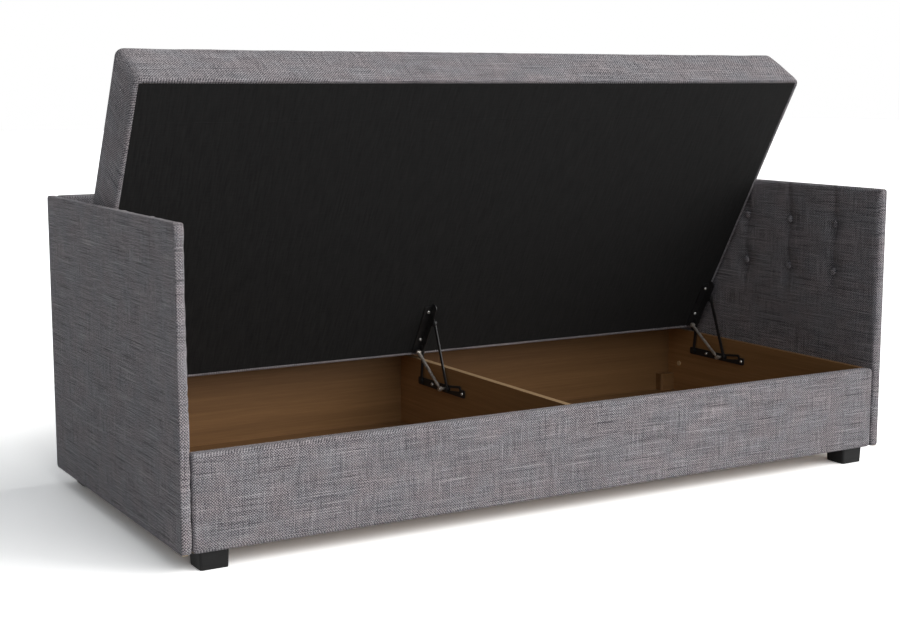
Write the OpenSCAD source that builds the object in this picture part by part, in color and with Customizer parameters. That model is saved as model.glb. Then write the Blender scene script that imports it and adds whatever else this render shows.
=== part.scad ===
// Storage sofa bed: tufted side and back panels, a low front board, a wooden storage box with a
// partition, and a one-piece mattress seat that lifts on three linkage fittings.
// X runs along the length, Y from the front to the back, Z up. The seat is drawn open.

/* [Overall] */
// Length over both side panels
length = 2065.6; // [1700:0.1:2400]
// Depth from the front board's face to the back of the back panel
depth = 928.7; // [900:0.1:1100]
// Height of the side and back panels' top edge
panel_top = 765.7; // [640:0.1:950]
// Height of the feet
foot_h = 43.4; // [30:0.1:60]
// Height of the front board's top edge
front_top = 265.9; // [260:0.1:275]

/* [Side and back panels] */
// Thickness of an upholstered side panel
side_t = 23.8; // [20:0.1:40]
// Thickness of the upholstered back panel
back_t = 19.4; // [17:0.1:24]
// Board inside a side panel
side_board_t = 12; // [9:0.5:16]
// Board inside the back panel
back_board_t = 9; // [6:0.5:11]
// Cover on a panel's outer face
outer_skin = 2.4; // [1.5:0.1:4]
// Cover over a panel's edges
edge_skin = 4; // [3:0.5:8]
// Rounding of a padded face's edge
pad_edge_r = 7; // [4:0.5:8]
// Gap between the back panel and a side panel
back_gap = 0.5; // [0.3:0.1:3]
// Diameter of the dowels between the back and side boards
dowel_d = 4; // [3:0.5:5]
// Depth that a dowel enters each board
dowel_bite = 8; // [6:0.5:10]

/* [Tufting] */
// Distance between button columns
tuft_pitch = 184.7; // [140:0.1:220]
// First button column, from the front edge
tuft_first = 178; // [100:1:220]
// Lower button row, above the ground
tuft_low = 520; // [480:1:560]
// Distance between the two button rows
tuft_rise = 137; // [100:1:160]
// Depth that a button draws the pad in
tuft_depth = 5; // [2:0.5:6]
// Radius of the hollow round a button
tuft_r = 34; // [20:1:50]
// Depth of the pucker above and below a button
pucker_depth = 1.8; // [0.5:0.1:2.4]
// Half length of a pucker
pucker_l = 62; // [30:1:80]
// Diameter of a covered button
button_d = 22; // [12:1:26]
// Rise of a covered button's dome
button_h = 5; // [2:0.1:6]
// Button columns on a side panel
side_cols = 4; // [2:1:5]
// Button columns on the back panel
back_cols = 10; // [4:1:11]

/* [Front board] */
// Thickness of the upholstered front board
front_t = 33.6; // [28:0.1:45]
// Padding on the front board's face
front_pad = 13.6; // [8:0.1:18]
// Cover on the front board's inner face and under it
front_skin = 2; // [1:0.1:4]
// Padding over the front board's top edge
front_cap = 4; // [2:0.5:8]
// Rounding of the front board's edges
front_r = 9; // [4:0.5:12]
// Gap between the front board and a side panel
front_gap = 3.5; // [1:0.1:8]

/* [Storage box] */
// Thickness of the box walls and the partition
wall_t = 18; // [15:1:22]
// Thickness of the box floors
floor_t = 18; // [9:1:22]
// Drop of the box walls' top edge below the front board's
wall_drop = 1.9; // [1:0.1:6]
// Length of a corner block along the side wall's foot
block_w = 50; // [30:1:80]
// Depth of a corner block
block_d = 30; // [20:1:50]
// Height of a corner block
block_h = 54; // [30:1:80]
// Length of the screws through the side walls into a corner block
block_screw_l = 48; // [30:1:60]
// Bevel of a corner block's inner edge
block_bevel = 6; // [2:0.5:12]
// Height of the panel bolts above the ground
bolt_z = 152.3; // [120:0.1:180]
// Panel bolts' distance from the box's ends
bolt_inset = 55.8; // [45:0.1:120]
// Panel bolt's shank diameter
bolt_d = 6; // [5:1:8]
// Panel bolt's head diameter
bolt_head_d = 15; // [12:1:20]
// Panel bolt's head height
bolt_head_h = 3; // [2:0.5:5]
// Depth that a panel bolt enters the panel's board
bolt_bite = 9; // [5:0.5:11]

/* [Feet] */
// Width of a foot
foot_w = 70.6; // [50:0.1:90]
// Depth of a foot
foot_d = 68.1; // [50:0.1:90]
// A foot's distance from the outer ends of the panels
foot_in_x = 45.4; // [42:0.1:80]
// A foot's distance from the front and the back
foot_in_y = 14.9; // [5:0.1:25]
// Rounding of a foot's upright edges
foot_r = 6; // [3:0.5:12]
// Foot sole's share of the foot's top
foot_sole_share = 0.95; // [0.8:0.01:1]
// Distance between a foot's two screws
foot_screw_gap = 36; // [24:1:44]
// Foot screws' distance from the foot's middle, away from the sofa's front or back
foot_screw_in = 11.35; // [0:0.05:14]
// Radial clearance of a screw's head in its counterbore
foot_bore_gap = 2; // [1:0.5:4]
// Depth of the screws' counterbores in a foot
foot_recess = 24; // [15:1:26]

/* [Mattress seat] */
// Gap between the mattress and a side panel
seat_gap = 9; // [4:0.5:15]
// Depth of the mattress, front edge to rear edge
seat_l = 909; // [880:1:915]
// Thickness of the mattress at its edge
seat_t = 152; // [120:1:170]
// Rounding of the mattress's upper edges
seat_r = 14; // [8:1:18]
// Rounding of its rear upper edge, which passes the back panel as the seat turns
seat_rear_r = 27; // [25:1:30]
// Rise of the mattress's crown
seat_crown = 7; // [3:0.5:14]
// Draw of the mattress's sides between their corners
seat_draw = 4; // [1:0.5:6]
// Corner rounding of the mattress seen from above
seat_corner_r = 22; // [19:1:60]
// Thickness of the mattress's border
seat_border = 14; // [12:0.5:20]
// Thickness of the soft top layer with its cover
seat_top = 34; // [32:1:50]
// Cloth under the mattress
cloth_t = 1.5; // [1:0.1:3]
// Thickness of the wooden rails
rail_t = 18; // [15:1:25]
// Width of the front and rear rails
rail_w = 106; // [90:1:130]
// Width of the end rails
end_rail_w = 84; // [70:1:120]
// Width of the cross rails
cross_rail_w = 120; // [110:1:150]
// Deck board over the rails
deck_t = 4; // [3:0.5:9]

/* [Lift fittings] */
// Angle of the open mattress
open_angle = 60.3; // [59.8:0.1:60.3]
// Rear link's base pivot, in front of the box's back wall
base_pivot_in = 136.22; // [133:0.01:142]
// Rear link's base pivot, above the ground
base_pivot_z = 205.38; // [205:0.01:206]
// Rear link's length between pivots
link_l = 102.17; // [101:0.01:103]
// Rear link's angle when the mattress is open
link_open = 97.11; // [96.5:0.01:98]
// Rear link's pivot on the strap, from the mattress's rear edge
link_top_in = 40.51; // [39:0.01:43]
// The same pivot's distance below the mattress
link_top_drop = 10; // [9.5:0.1:11]
// Front arm's pivot on the strap, from the mattress's rear edge
arm_top_in = 140.2; // [137:0.1:143]
// The same pivot's distance below the mattress
arm_top_drop = 29; // [27:0.1:31]
// Front arm's length between its pins
arm_l = 190.31; // [188:0.01:192]
// Front arm's angle when the mattress is open
arm_open = 68.93; // [68.5:0.01:69.5]
// Travel of the arm's lower pin in the base bar's slot
slot_l = 60.2; // [58:0.1:66]
// Rise of the slot towards the front
slot_angle = 6.99; // [5:0.01:9]
// Strut's lower pivot, in front of the rear link's base pivot
strut_foot_in = 131.08; // [123:0.01:135]
// Strut's lower pivot, above the ground
strut_foot_z = 206; // [203:0.5:208]
// Strut's upper pivot on the strap, from the mattress's rear edge
strut_top_in = 25; // [21:1:29]
// The same pivot's distance below the mattress
strut_top_drop = 13; // [12:0.5:18]
// Strut's longest length between pivots
strut_long = 239.8; // [236:0.1:246]
// Thickness of the bars, links and straps
steel_t = 3; // [2:0.5:3]
// Height of the base bar
bar_h = 22; // [18:1:26]
// Base bar's reach behind the rear link's pivot
bar_rear = 20; // [12:1:30]
// Base bar's reach in front of the slot
bar_front = 30; // [26:1:40]
// Width of the links and arms between their eyes
link_w = 10; // [8:0.5:14]
// Diameter of a link's or arm's eye
eye_d = 16; // [14:0.5:19]
// Diameter of the pivot pins
pin_d = 8; // [6:0.5:8]
// Diameter of the pivot pins' heads
pin_head_d = 13; // [10:0.5:14]
// Height of the pivot pins' heads
pin_head_h = 1.8; // [1:0.1:2]
// Width of the upper strap
strap_w = 24; // [22:1:28]
// Rounding of the upper strap's ends
strap_end_r = 11; // [8:0.5:12]
// Front end of the upper strap, in front of its front screw
strap_front_end = 30.5; // [20:0.5:48]
// Rear end of the upper strap, from the mattress's rear edge
strap_rear_in = 4; // [3:0.5:11]
// Width of the strap's flange on the mattress
flange_w = 25; // [20:1:30]
// Front strap screw, from the mattress's rear edge
strap_screw_front = 160.5; // [153:0.5:169]
// Rear strap screw, from the mattress's rear edge
strap_screw_rear = 63; // [57:0.5:69]
// Strap screws' distance from the strap's web
strap_screw_in = 10; // [7:0.5:14]
// Outer diameter of the strut's tube
tube_d = 9; // [8:0.5:10]
// Diameter of the spacers behind the base bar
spacer_d = 12; // [9:0.5:13]
// Bore of the strut's tube
tube_bore = 7; // [6.5:0.1:7.5]
// Diameter of the strut's rod
rod_d = 6; // [5:0.1:6]
// Diameter of the strut's end eyes
strut_eye_d = 14; // [12:0.5:16]
// Thickness of the strut's end eyes
eye_t = 7; // [6.5:0.1:8]
// Distance of the strut's middle from the wall
strut_off = 21; // [20.5:0.5:24]
// Diameter of the strut's pins
strut_pin_d = 6; // [5:0.5:7]
// Diameter of the strut pins' heads
strut_head_d = 10; // [8:0.5:13]

/* [Screws] */
// Wood screw's shank diameter
screw_d = 5; // [4:0.5:6]
// Wood screw's head diameter
screw_head_d = 9.5; // [8:0.5:11]
// Wood screw's head height
screw_head_h = 2.4; // [1.5:0.1:3]
// Depth that a wood screw enters the wood
screw_bite = 13; // [8:1:15]

/* [Clearances] */
// Radial clearance of a pin in an eye
pin_fit = 0.08; // [0.03:0.01:0.1]
// Radial clearance of the arm's pin in the slot
slot_fit = 0.3; // [0.2:0.05:0.4]
// Radial clearance of a screw in its hole
screw_fit = 0.1; // [0.05:0.05:0.4]
// Gap between the layers of a fitting
layer_gap = 0.4; // [0.3:0.1:0.6]
// Gap between a soft piece and what lies in it
soft_gap = 0.3; // [0.2:0.1:0.5]

/* [Hidden] */
over = 1;
half_l = length / 2;
side_face = half_l - side_t;
back_face = depth - back_t;
wall_face = side_face - wall_t;
back_wall_face = back_face - wall_t;
wall_top = front_top - wall_drop;
floor_top = foot_h + floor_t;
seat_half = side_face - seat_gap;
base_pivot_y = back_wall_face - base_pivot_in;
strut_foot_y = base_pivot_y - strut_foot_in;
link_top_a = seat_l - link_top_in;
arm_top_a = seat_l - arm_top_in;
strut_top_a = seat_l - strut_top_in;
strap_screws_a = [seat_l - strap_screw_front, seat_l - strap_screw_rear];
strap_front = strap_screws_a[0] - strap_front_end;
strap_rear = seat_l - strap_rear_in;
seat_foot = [base_pivot_y + link_l * cos(link_open), base_pivot_z + link_l * sin(link_open)];
arm_foot = along(seat_place(arm_top_a, arm_top_drop), arm_open + 180, arm_l);
slot_end = along(arm_foot, 180 - slot_angle, slot_l);
strut_top = seat_place(strut_top_a, strut_top_drop);
strut_foot = [strut_foot_y, strut_foot_z];
strut_now = norm(strut_top - strut_foot);
strut_angle = atan2(strut_top[1] - strut_foot[1], strut_top[0] - strut_foot[0]);
stand_off = pin_head_h + 3 * layer_gap;
bar_top = stand_off + steel_t;
link_base = bar_top + layer_gap;
link_face = link_base + steel_t;
strap_base = link_face + layer_gap;
strap_face = strap_base + steel_t;
bar_start = slot_end[0] - bar_front;
bar_end = base_pivot_y + bar_rear;
bar_mid = base_pivot_z;
bar_screws = [bar_start + bar_h / 2, (strut_foot_y + base_pivot_y) / 2 + strut_pin_d];
bar_hole = strut_foot_y + bar_h + strut_pin_d / 2;
walls = [[-wall_face, 1], [-wall_t / 2, -1], [wall_face, -1]];
tube_l = strut_now - strut_eye_d;
rod_l = strut_long - tube_l + strut_eye_d * 2;
core_top = seat_t - seat_top;
pocket_x = seat_half - seat_border;
strap_screw_off = strap_base + strap_screw_in;
column_steps = 6;
back_column_steps = 4;
row_steps = 5;
low_shares = [0.26, 0.5, 0.7, 0.86];
profile_shares = [0, 0.25, 0.5, 0.75, 1];
least_corner_r = 2;
rear_power = 4;
crown_shares = [0.93, 0.8, 0.6, 0.35];
long_steps = 14;
short_steps = 7;
corner_steps = 4;
round_fn = 48;
small_fn = 32;
$fn = round_fn;

function along(p, angle, l) = p + l * [cos(angle), sin(angle)];
function seat_place(a, n) = seat_foot
    + (a - link_top_a) * [cos(open_angle), -sin(open_angle)]
    - (n - link_top_drop) * [sin(open_angle), cos(open_angle)];

// Places of grid lines across a padded face: close at the rims, even between the buttons
function rim_in(r) = [0, r / 3, r];
function rim_out(l, r) = [l - r, l - r / 3, l];
function column_lines(l, first, cols, steps) = let (
    step = tuft_pitch / steps,
    lead = floor((first - 2 * pad_edge_r) / step),
    last = first + (cols - 1) * tuft_pitch,
    tail = floor((l - last - 2 * pad_edge_r) / step)
) concat(rim_in(pad_edge_r),
    [for (i = [-lead : (cols - 1) * steps + tail]) first + i * step],
    rim_out(l, pad_edge_r));
function row_lines(h) = let (
    low = tuft_low - foot_h,
    step = tuft_rise / row_steps,
    start = low - 2 * step,
    tail = floor((h - low - tuft_rise - 2 * pad_edge_r) / step)
) concat(rim_in(pad_edge_r),
    [for (share = low_shares) start * share],
    [for (i = [-2 : row_steps + tail]) low + i * step],
    rim_out(h, pad_edge_r));

// Fall of a padded face at its rim, and the hollow and pucker round each button
function rim_fall(p, l) = let (s = max(0, 1 - min(p, l - p) / pad_edge_r))
    pad_edge_r * (1 - sqrt(1 - s * s));
function bell(p, r) = exp(-p * p / (r * r));
function tuft_fall(u, v, buttons) = max([for (b = buttons)
    tuft_depth * bell(norm([u, v] - b), tuft_r)
    + pucker_depth * bell(u - b[0], tuft_r / 2) * bell(v - b[1], pucker_l)]);
function button_grid(first, cols) = [for (c = [0 : cols - 1]) for (r = [0, 1])
    [first + c * tuft_pitch, tuft_low - foot_h + r * tuft_rise]];

// Closed block whose upper face follows the tufts
module tufted_block(us, vs, t, buttons) {
    nu = len(us) - 1;
    nv = len(vs) - 1;
    l = us[nu];
    h = vs[nv];
    top = [for (u = us) for (v = vs)
        [u, v, t - rim_fall(u, l) / 2 - rim_fall(v, h) / 2 - tuft_fall(u, v, buttons)]];
    loop = concat([for (i = [0 : nu - 1]) i * (nv + 1)],
        [for (j = [0 : nv - 1]) nu * (nv + 1) + j],
        [for (i = [nu : -1 : 1]) i * (nv + 1) + nv],
        [for (j = [nv : -1 : 1]) j]);
    n = len(loop);
    first = len(top);
    foot = [for (k = loop) [top[k][0], top[k][1], 0]];
    faces = concat(
        [for (i = [0 : nu - 1]) for (j = [0 : nv - 1]) let (k = i * (nv + 1) + j) [k, k + 1, k + nv + 2]],
        [for (i = [0 : nu - 1]) for (j = [0 : nv - 1]) let (k = i * (nv + 1) + j) [k, k + nv + 2, k + nv + 1]],
        [for (k = [0 : n - 1]) [first + k, loop[k], loop[(k + 1) % n]]],
        [for (k = [0 : n - 1]) [first + k, loop[(k + 1) % n], first + (k + 1) % n]],
        [for (k = [0 : n - 1]) [first + n, first + k, first + (k + 1) % n]]);
    polyhedron(concat(top, foot, [[l / 2, h / 2, 0]]), faces, convexity = 4);
}

// Outline of the mattress from above, drawn in between its corners
function draw_in(s) = seat_draw * (1 - pow(2 * s - 1, 4));
function corner_arc(x, y, from, r) = [for (i = [0 : corner_steps])
    [x, y] + r * [cos(from + i * 90 / corner_steps), sin(from + i * 90 / corner_steps)]];
function seat_ring(inset) = let (
    x = seat_half - inset,
    y = seat_l / 2 - inset,
    r = max(seat_corner_r - inset, least_corner_r),
    cx = x - r,
    cy = y - r
) concat(
    corner_arc(cx, cy, 0, r),
    [for (i = [1 : long_steps - 1]) let (s = i / long_steps) [cx - 2 * cx * s, y - draw_in(s)]],
    corner_arc(-cx, cy, 90, r),
    [for (i = [1 : short_steps - 1]) let (s = i / short_steps) [-x + draw_in(s), cy - 2 * cy * s]],
    corner_arc(-cx, -cy, 180, r),
    [for (i = [1 : long_steps - 1]) let (s = i / long_steps) [2 * cx * s - cx, draw_in(s) - y]],
    corner_arc(cx, -cy, 270, r),
    [for (i = [1 : short_steps - 1]) let (s = i / short_steps) [x - draw_in(s), 2 * cy * s - cy]]);
function lifted(ring, z) = [for (p = ring) [p[0], p[1], z]];

// Ring at share s of the upper edge's rounding of radius r, and the edge's own ring, whose radius
// grows towards the rear edge
function round_ring(r, s) = lifted(seat_ring(r * (1 - cos(90 * s))), seat_t - r * (1 - sin(90 * s)));
function rear_weight(y) = pow(max(0, 2 * y / seat_l), rear_power);
function edge_ring(s) = let (
    front = round_ring(seat_r, s),
    rear = round_ring(seat_rear_r, s)
) [for (k = [0 : len(front) - 1]) let (w = rear_weight(front[k][1])) front[k] * (1 - w) + rear[k] * w];

// Crowned mattress with rounded upper edges, its underside at Z zero
module mattress_form() {
    edge = [for (p = edge_ring(1)) [p[0], p[1]]];
    rings = concat(
        [lifted(seat_ring(seat_draw / 2), 0)],
        [lifted(seat_ring(0), seat_t / 4)],
        [for (s = profile_shares) edge_ring(s)],
        [for (s = crown_shares) lifted(edge * s, seat_t + seat_crown * (1 - s * s))]);
    m = len(edge);
    n = len(rings);
    points = concat([for (ring = rings) for (p = ring) p], [[0, 0, 0], [0, 0, seat_t + seat_crown]]);
    faces = concat(
        [for (i = [0 : n - 2]) for (k = [0 : m - 1]) [i * m + k, (i + 1) * m + k, (i + 1) * m + (k + 1) % m]],
        [for (i = [0 : n - 2]) for (k = [0 : m - 1]) [i * m + k, (i + 1) * m + (k + 1) % m, i * m + (k + 1) % m]],
        [for (k = [0 : m - 1]) [n * m, k, (k + 1) % m]],
        [for (k = [0 : m - 1]) [n * m + 1, (n - 1) * m + (k + 1) % m, (n - 1) * m + k]]);
    polyhedron(points, faces, convexity = 4);
}

// Frames: the whole part, the open seat, a wall's fitting and the wall's own thickness direction
module stand() {
    translate([0, -depth / 2, 0]) children();
}

module seat_pose() {
    stand() translate([0, seat_foot[0], seat_foot[1]]) rotate([-open_angle, 0, 0])
        translate([0, -link_top_a, link_top_drop]) children();
}

module off_wall(i) {
    translate([walls[i][0], 0, 0]) {
        if (walls[i][1] > 0) {
            children();
        } else {
            mirror([1, 0, 0]) children();
        }
    }
}

module every_wall() {
    for (i = [0 : len(walls) - 1]) off_wall(i) children();
}

// Extrudes an outline in Y and Z along X
module plate(from, t) {
    translate([from, 0, 0]) rotate([90, 0, 90]) linear_extrude(t) children();
}

module pin_x(at, from, to, d) {
    translate([from, at[0], at[1]]) rotate([0, 90, 0]) cylinder(h = to - from, d = d, $fn = small_fn);
}

module bar_2d(p, q, w, eye) {
    difference() {
        union() {
            translate(p) rotate(atan2(q[1] - p[1], q[0] - p[0])) translate([0, -w / 2]) square([norm(q - p), w]);
            translate(p) circle(d = eye);
            translate(q) circle(d = eye);
        }
        children();
    }
}

module box(low, high) {
    translate(low) cube(high - low);
}

// A headed screw along +Z, its head's underside at Z zero
module wood_screw(through) {
    translate([0, 0, -screw_head_h]) cylinder(h = screw_head_h, d1 = screw_head_d * 3 / 4, d2 = screw_head_d, $fn = small_fn);
    cylinder(h = through + screw_bite, d = screw_d, $fn = small_fn);
}

module screw_hole(depth_in) {
    translate([0, 0, -over]) cylinder(h = depth_in + over + screw_fit, d = screw_d + 2 * screw_fit, $fn = small_fn);
}

panel_h = panel_top - foot_h;
back_l = 2 * (side_face - back_gap);
side_us = column_lines(depth, tuft_first, side_cols, column_steps);
back_first = back_l / 2 - (back_cols - 1) * tuft_pitch / 2;
back_us = column_lines(back_l, back_first, back_cols, back_column_steps);
panel_vs = row_lines(panel_h);
side_grid = button_grid(tuft_first, side_cols);
back_grid = button_grid(back_first, back_cols);
draw = tuft_depth + pucker_depth;
column_slope = draw * (1 - bell(tuft_pitch / column_steps, tuft_r)) * column_steps / tuft_pitch;
row_slope = draw * (1 - bell(tuft_rise / row_steps, tuft_r)) * row_steps / tuft_rise;
button_drop = draw - button_d / 2 * norm([column_slope, row_slope]) - soft_gap;
button_shares = [[0, 0], [1, 0], [1, 0.3], [0.84, 0.7], [0.5, 0.95], [0, 1]];
side_inner = side_t - outer_skin - side_board_t;
dowel_y = depth - outer_skin - back_board_t / 2;
dowel_zs = [foot_h + panel_h / 4, panel_top - panel_h / 8];
bolt_ys = [front_t + bolt_inset, back_wall_face - bolt_inset];
foot_x = half_l - foot_in_x - foot_w / 2;
foot_ys = [foot_in_y + foot_d / 2, depth - foot_in_y - foot_d / 2];
foot_screw_ys = [foot_ys[0] + foot_screw_in, foot_ys[1] - foot_screw_in];
block_ys = [front_t, back_wall_face - block_d];
block_screw_zs = [floor_top + block_h / 4, floor_top + block_h * 3 / 4];
block_screw_x = side_face - screw_head_h - soft_gap;
lug_d = eye_d + pin_d / 2;
pin_neck = strut_off - eye_t / 2 - layer_gap;
pin_tip = strut_off + eye_t / 2 + layer_gap;
base_pivot = [base_pivot_y, base_pivot_z];
arm_top = seat_place(arm_top_a, arm_top_drop);
rail_base = cloth_t;
deck_base = rail_base + rail_t;
core_base = deck_base + deck_t;
pocket_front = seat_border;
pocket_rear = seat_l - seat_border;
cross_shares = [-0.5, 0, 0.5];
rail_end = pocket_x - soft_gap;
front_rail_a = pocket_front + soft_gap;
rear_rail_a = pocket_rear - soft_gap;

module round_rect(w, h, r) {
    translate([r, 0]) square([w - 2 * r, h]);
    translate([0, r]) square([w, h - 2 * r]);
    for (x = [r, w - r]) for (y = [r, h - r]) translate([x, y]) circle(r);
}

// Panels: U along the panel, V upwards, thickness from the outer face inwards
module side_pose(right) {
    if (right) {
        stand() mirror([1, 0, 0]) translate([-half_l, 0, foot_h]) rotate([90, 0, 90]) children();
    } else {
        stand() translate([-half_l, 0, foot_h]) rotate([90, 0, 90]) children();
    }
}

module back_pose() {
    stand() translate([-back_l / 2, depth, foot_h]) rotate([90, 0, 0]) children();
}

module panel_board(l, t) {
    translate([edge_skin, 0, outer_skin]) cube([l - 2 * edge_skin, panel_h - edge_skin, t]);
}

module panel_pocket(l, t) {
    translate([edge_skin, -over, outer_skin]) cube([l - 2 * edge_skin, panel_h - edge_skin + over, t]);
}

module buttons(grid, t) {
    for (b = grid) translate([b[0], b[1], t - button_drop]) rotate_extrude($fn = small_fn)
        polygon([for (s = button_shares) [s[0] * button_d / 2, s[1] * button_h]]);
}

// Bores of the dowels and bolts, along X, on the right half
module dowel_bores(fit) {
    for (z = dowel_zs) pin_x([dowel_y, z], back_l / 2 - edge_skin - dowel_bite, side_face + side_inner + dowel_bite, dowel_d + 2 * fit);
}

module both_ends() {
    children();
    mirror([1, 0, 0]) children();
}

module bolts(fit) {
    for (y = bolt_ys) pin_x([y, bolt_z], wall_face - over * fit, side_face + side_inner + bolt_bite + over * fit, bolt_d + 2 * fit);
}

module side_board(right) {
    difference() {
        side_pose(right) panel_board(depth, side_board_t);
        stand() both_ends() {
            bolts(screw_fit);
            dowel_bores(screw_fit);
        }
    }
}

module side_cover(right) {
    difference() {
        side_pose(right) difference() {
            tufted_block(side_us, panel_vs, side_t, side_grid);
            panel_pocket(depth, side_board_t);
        }
        stand() both_ends() {
            bolts(screw_fit);
            dowel_bores(screw_fit);
        }
    }
}

module left_side_board() {
    color("burlywood") side_board(false);
}

module right_side_board() {
    color("burlywood") side_board(true);
}

module left_side_cover() {
    color("slategray") side_cover(false);
}

module right_side_cover() {
    color("slategray") side_cover(true);
}

module left_side_buttons() {
    color("dimgray") side_pose(false) buttons(side_grid, side_t);
}

module right_side_buttons() {
    color("dimgray") side_pose(true) buttons(side_grid, side_t);
}

module back_board() {
    color("burlywood") difference() {
        back_pose() panel_board(back_l, back_board_t);
        stand() both_ends() dowel_bores(screw_fit);
    }
}

module back_cover() {
    color("slategray") difference() {
        back_pose() difference() {
            tufted_block(back_us, panel_vs, back_t, back_grid);
            panel_pocket(back_l, back_board_t);
        }
        stand() both_ends() dowel_bores(screw_fit);
    }
}

module back_buttons() {
    color("dimgray") back_pose() buttons(back_grid, back_t);
}

module back_dowels() {
    color("silver") stand() both_ends() dowel_bores(0);
}

// Front board: its cover turns over the top edge and down the inner face
front_half = side_face - front_gap;

module front_core() {
    color("burlywood") stand() box([edge_skin - front_half, front_pad, foot_h],
        [front_half - edge_skin, front_t - front_skin, front_top - front_cap]);
}

module front_cover() {
    color("lightslategray") stand() difference() {
        intersection() {
            plate(-front_half, 2 * front_half) union() {
                translate([0, foot_h]) round_rect(front_t, front_top - foot_h, front_r);
                translate([front_t / 2, foot_h]) square([front_t / 2, front_top - foot_h - front_r]);
            }
            translate([-front_half, 0, foot_h - over]) linear_extrude(front_top - foot_h + 2 * over) union() {
                round_rect(2 * front_half, front_t, front_r);
                translate([0, front_t / 2]) square([2 * front_half, front_t / 2]);
            }
        }
        box([edge_skin - front_half, front_pad, foot_h - over],
            [front_half - edge_skin, front_t - front_skin, front_top - front_cap]);
    }
}

// Storage box
// Screws through a side wall into its corner blocks, their heads sunk in the wall's outer face
module wall_screw_bores() {
    for (z = block_screw_zs) for (y = block_ys) {
        pin_x([y + block_d / 2, z], block_screw_x - block_screw_l - screw_fit, side_face + over, screw_d + 2 * screw_fit);
        pin_x([y + block_d / 2, z], block_screw_x, side_face + over, screw_head_d + 2 * screw_fit);
    }
}

module bar_screw_bores() {
    for (y = bar_screws) pin_x([y, bar_mid], -screw_bite - screw_fit, over, screw_d + 2 * screw_fit);
}

module side_wall() {
    difference() {
        box([wall_face, front_t, foot_h], [side_face, back_face, wall_top]);
        bolts(screw_fit);
        wall_screw_bores();
    }
}

module box_left_wall() {
    color("peru") stand() difference() {
        mirror([1, 0, 0]) side_wall();
        off_wall(0) bar_screw_bores();
    }
}

module box_right_wall() {
    color("peru") stand() difference() {
        side_wall();
        off_wall(2) bar_screw_bores();
    }
}

module box_back_wall() {
    color("peru") stand() box([-wall_face, back_wall_face, foot_h], [wall_face, back_face, wall_top]);
}

module partition() {
    color("wheat") stand() difference() {
        box([-wall_t / 2, front_t, foot_h], [wall_t / 2, back_wall_face, wall_top]);
        off_wall(1) bar_screw_bores();
    }
}

module right_floor() {
    difference() {
        box([wall_t / 2, front_t, foot_h], [wall_face, back_wall_face, floor_top]);
        foot_screw_places() screw_hole(foot_h - foot_recess + screw_bite);
    }
}

module floor_right() {
    color("tan") stand() right_floor();
}

module floor_left() {
    color("tan") stand() mirror([1, 0, 0]) right_floor();
}

module corner_block(y, front) {
    x = wall_face - block_w;
    inner = front ? y + block_d : y;
    outer = front ? y : y + block_d;
    way = front ? -block_bevel : block_bevel;
    translate([0, 0, floor_top]) linear_extrude(block_h)
        polygon([[wall_face, outer], [x, outer], [x, inner + way], [x + block_bevel, inner], [wall_face, inner]]);
}

module corner_blocks() {
    color("saddlebrown") stand() both_ends() difference() {
        union() {
            corner_block(block_ys[0], true);
            corner_block(block_ys[1], false);
        }
        wall_screw_bores();
    }
}

module block_screws() {
    color("silver") stand() both_ends() for (z = block_screw_zs) for (y = block_ys)
        translate([block_screw_x, y + block_d / 2, z]) rotate([0, -90, 0]) wood_screw(block_screw_l - screw_bite);
}

module panel_bolts() {
    color("silver") stand() both_ends() {
        bolts(0);
        for (y = bolt_ys) pin_x([y, bolt_z], wall_face - bolt_head_h, wall_face, bolt_head_d);
    }
}

// Feet, each on two screws from below in deep counterbores
module foot_screw_places() {
    for (y = foot_screw_ys) for (x = [-foot_screw_gap / 2, foot_screw_gap / 2]) translate([foot_x + x, y, foot_recess]) children();
}

module foot(i) {
    difference() {
        translate([foot_x, foot_ys[i], foot_h]) mirror([0, 0, 1]) linear_extrude(foot_h, scale = foot_sole_share)
            translate([-foot_w / 2, -foot_d / 2]) round_rect(foot_w, foot_d, foot_r);
        foot_screw_places() screw_hole(foot_h - foot_recess + over);
        foot_screw_places() translate([0, 0, -foot_recess - over])
            cylinder(h = foot_recess + over, d = screw_head_d + 2 * foot_bore_gap, $fn = small_fn);
    }
}

module foot_front_left() {
    color("black") stand() mirror([1, 0, 0]) foot(0);
}

module foot_front_right() {
    color("black") stand() foot(0);
}

module foot_rear_left() {
    color("black") stand() mirror([1, 0, 0]) foot(1);
}

module foot_rear_right() {
    color("black") stand() foot(1);
}

module foot_screws() {
    color("silver") stand() both_ends() foot_screw_places() wood_screw(foot_h - foot_recess);
}

// Lift fittings: fixed parts on the walls
module base_bar() {
    plate(stand_off, steel_t) difference() {
        union() {
            translate([bar_start, bar_mid - bar_h / 2]) round_rect(bar_end - bar_start, bar_h, bar_h / 4);
            bar_2d(arm_foot, slot_end, bar_h, bar_h);
        }
        bar_2d(arm_foot, slot_end, pin_d + 2 * slot_fit, pin_d + 2 * slot_fit);
        translate(base_pivot) circle(d = pin_d + 2 * pin_fit);
        translate(strut_foot) circle(d = strut_pin_d + 2 * pin_fit);
        translate([bar_hole, bar_mid]) circle(d = strut_pin_d);
        for (y = bar_screws) translate([y, bar_mid]) circle(d = screw_d + 2 * screw_fit);
    }
}

module base_bar_left() {
    color("dimgray") stand() off_wall(0) base_bar();
}

module base_bar_centre() {
    color("dimgray") stand() off_wall(1) base_bar();
}

module base_bar_right() {
    color("dimgray") stand() off_wall(2) base_bar();
}

module base_bar_screws() {
    color("silver") stand() every_wall() for (y = bar_screws)
        translate([bar_top, y, bar_mid]) rotate([0, -90, 0]) wood_screw(bar_top);
}

module bar_spacers() {
    color("gray") stand() every_wall() for (y = bar_screws) difference() {
        pin_x([y, bar_mid], 0, stand_off, spacer_d);
        pin_x([y, bar_mid], -over, stand_off + over, screw_d + 2 * screw_fit);
    }
}

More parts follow.
